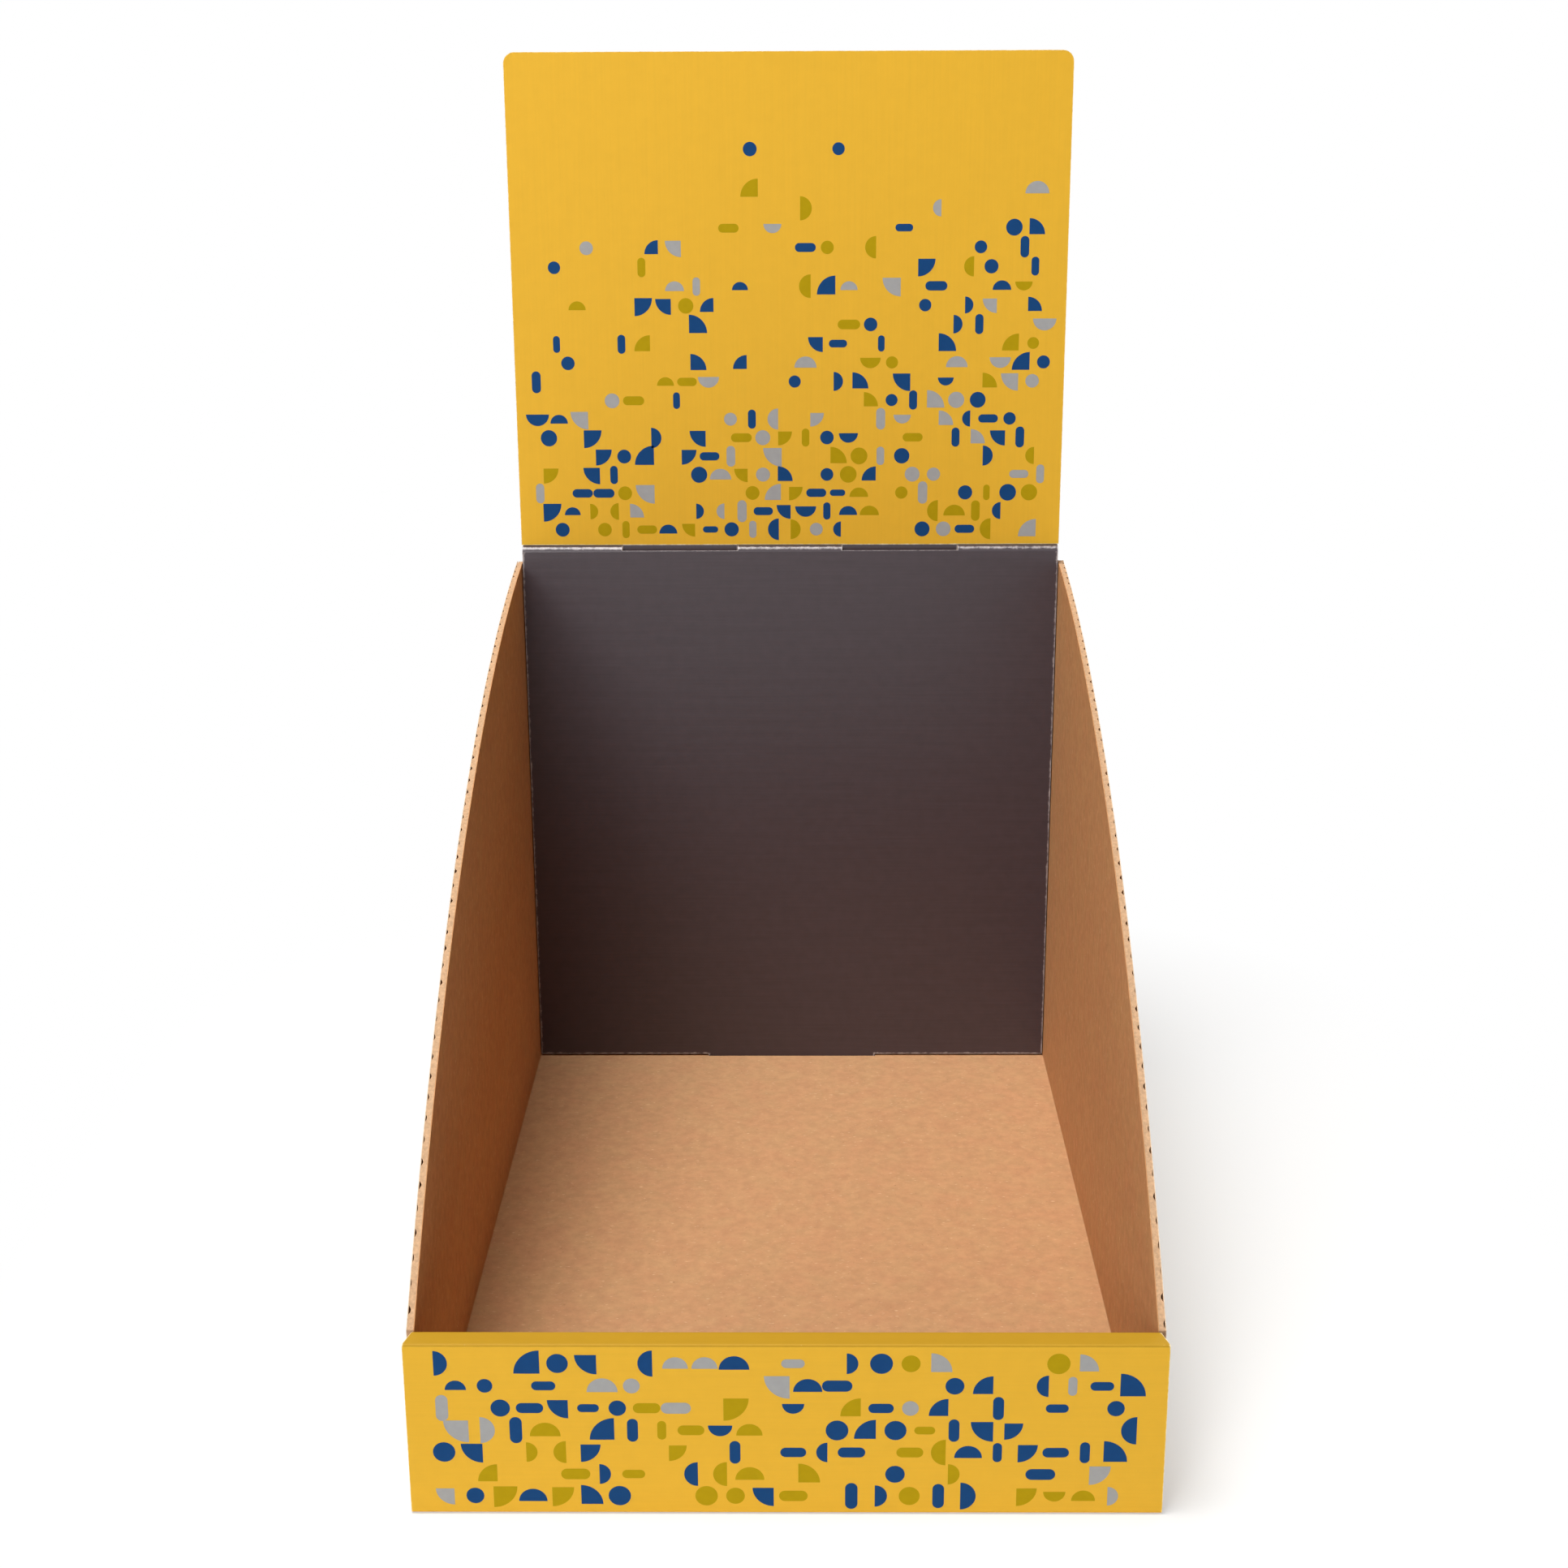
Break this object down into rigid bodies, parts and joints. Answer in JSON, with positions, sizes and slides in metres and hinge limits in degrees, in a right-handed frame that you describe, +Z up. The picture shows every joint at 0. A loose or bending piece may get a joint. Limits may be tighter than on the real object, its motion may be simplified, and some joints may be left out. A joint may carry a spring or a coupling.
{
  "type": "counter display",
  "caption": "Folded corrugated-board counter display: an open tray with swept side walls, double front and back walls and a header card that lifts out of slots in the back.",
  "frame": {"origin": "middle of the tray's underside, on the surface that it stands on", "axes": "+Z up, -Y towards the customer (the low front wall), +X to the customer's right"},
  "size_m": [0.26, 0.389, 0.4873],
  "materials": {
    "yellow_print": "satin",
    "yellow_ridge": "satin",
    "dark_print": "satin",
    "kraft_liner": "matte",
    "fluting_medium": "matte"
  },
  "bodies": {
    "tray": {"floor_print": "yellow_print", "floor_fluting": "fluting_medium", "floor_kraft": "kraft_liner", "back_wall_print": "yellow_print", "back_wall_fluting": "fluting_medium", "back_wall_kraft": "kraft_liner", "back_ridge": "yellow_ridge", "back_inner_print": "dark_print", "back_inner_fluting": "fluting_medium", "back_inner_kraft": "kraft_liner"},
    "left_side": {"left_side_print": "yellow_print", "left_side_fluting": "fluting_medium", "left_side_kraft": "kraft_liner", "left_back_flap_print": "yellow_print", "left_back_flap_fluting": "fluting_medium", "left_back_flap_kraft": "kraft_liner"},
    "right_side": {"right_side_print": "yellow_print", "right_side_fluting": "fluting_medium", "right_side_kraft": "kraft_liner", "right_back_flap_print": "yellow_print", "right_back_flap_fluting": "fluting_medium", "right_back_flap_kraft": "kraft_liner"},
    "left_front_flap": {"left_front_flap_print": "yellow_print", "left_front_flap_fluting": "fluting_medium", "left_front_flap_kraft": "kraft_liner"},
    "right_front_flap": {"right_front_flap_print": "yellow_print", "right_front_flap_fluting": "fluting_medium", "right_front_flap_kraft": "kraft_liner"},
    "front_wall": {"front_wall_print": "yellow_print", "front_wall_fluting": "fluting_medium", "front_wall_kraft": "kraft_liner"},
    "front_ridge": {"front_ridge": "yellow_ridge"},
    "front_inner": {"front_inner_print": "yellow_print", "front_inner_fluting": "fluting_medium", "front_inner_kraft": "kraft_liner"},
    "header": {"header_print": "yellow_print", "header_fluting": "fluting_medium", "header_kraft": "kraft_liner"}
  },
  "joints": [
    {"name": "header_lift", "type": "slide", "parent": "tray", "child": "header", "axis": [0, 0, 1], "range_m": [0, 0.03]},
    {"name": "left_side_fold", "type": "hinge", "parent": "tray", "child": "left_side", "pos_m": [-0.13, 0, 0], "axis": [0, -1, 0], "range_deg": [0, 90]},
    {"name": "right_side_fold", "type": "hinge", "parent": "tray", "child": "right_side", "pos_m": [0.13, 0, 0], "axis": [0, 1, 0], "range_deg": [0, 90]},
    {"name": "front_wall_fold", "type": "hinge", "parent": "tray", "child": "front_wall", "pos_m": [0, -0.1945, 0], "axis": [1, 0, 0], "range_deg": [0, 90]},
    {"name": "front_ridge_fold", "type": "hinge", "parent": "front_wall", "child": "front_ridge", "pos_m": [0, -0.1945, 0.0665], "axis": [1, 0, 0], "range_deg": [0, 90]},
    {"name": "front_inner_fold", "type": "hinge", "parent": "front_ridge", "child": "front_inner", "pos_m": [0, -0.1855, 0.0665], "axis": [1, 0, 0], "range_deg": [0, 90]},
    {"name": "left_front_flap_fold", "type": "hinge", "parent": "left_side", "child": "left_front_flap", "pos_m": [-0.13, -0.1914, 0], "axis": [0, 0, -1], "range_deg": [0, 90]},
    {"name": "right_front_flap_fold", "type": "hinge", "parent": "right_side", "child": "right_front_flap", "pos_m": [0.13, -0.1914, 0], "axis": [0, 0, 1], "range_deg": [0, 90]}
  ],
  "couplings": [
    {"joint": "front_ridge_fold", "follows": "front_wall_fold", "ratio": 1},
    {"joint": "front_inner_fold", "follows": "front_wall_fold", "ratio": 1},
    {"joint": "left_front_flap_fold", "follows": "front_wall_fold", "ratio": 1},
    {"joint": "right_front_flap_fold", "follows": "front_wall_fold", "ratio": 1}
  ]
}
